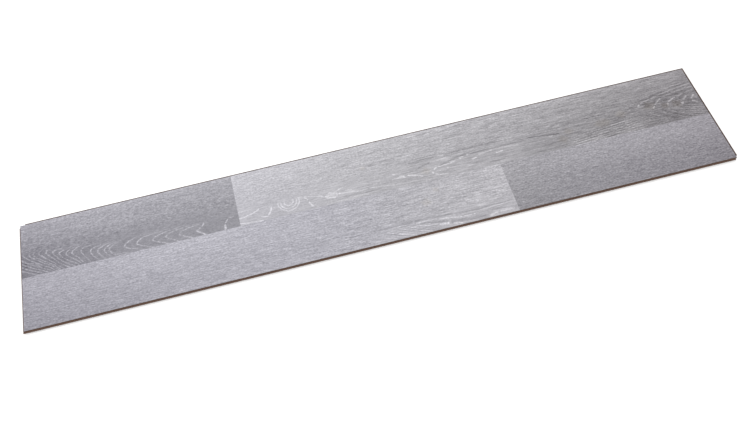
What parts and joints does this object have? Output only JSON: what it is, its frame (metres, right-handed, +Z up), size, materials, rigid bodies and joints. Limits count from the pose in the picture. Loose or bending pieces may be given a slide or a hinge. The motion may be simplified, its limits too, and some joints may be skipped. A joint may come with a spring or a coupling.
{
  "type": "laminate wood floor plank",
  "caption": "Flat rectangular floor plank with a grey limed-oak face on a brown fibreboard core, click tongue and locking lip milled round its edges.",
  "frame": {"origin": "on the underside, below the centre of the laid decor face", "axes": "+X along the plank towards the end with the locking lip, +Y towards the long edge with the locking lip, +Z up out of the decor face"},
  "size_m": [1.2986, 0.256, 0.008],
  "materials": {
    "fibreboard": "milled high-density fibreboard, matt, with a plain backing face underneath",
    "oak_decor": "printed grey limed-oak decor under a clear satin wear layer, embossed grain"
  },
  "bodies": {
    "root": {"hdf_core": "fibreboard", "decor_layer": "oak_decor"}
  },
  "joints": []
}
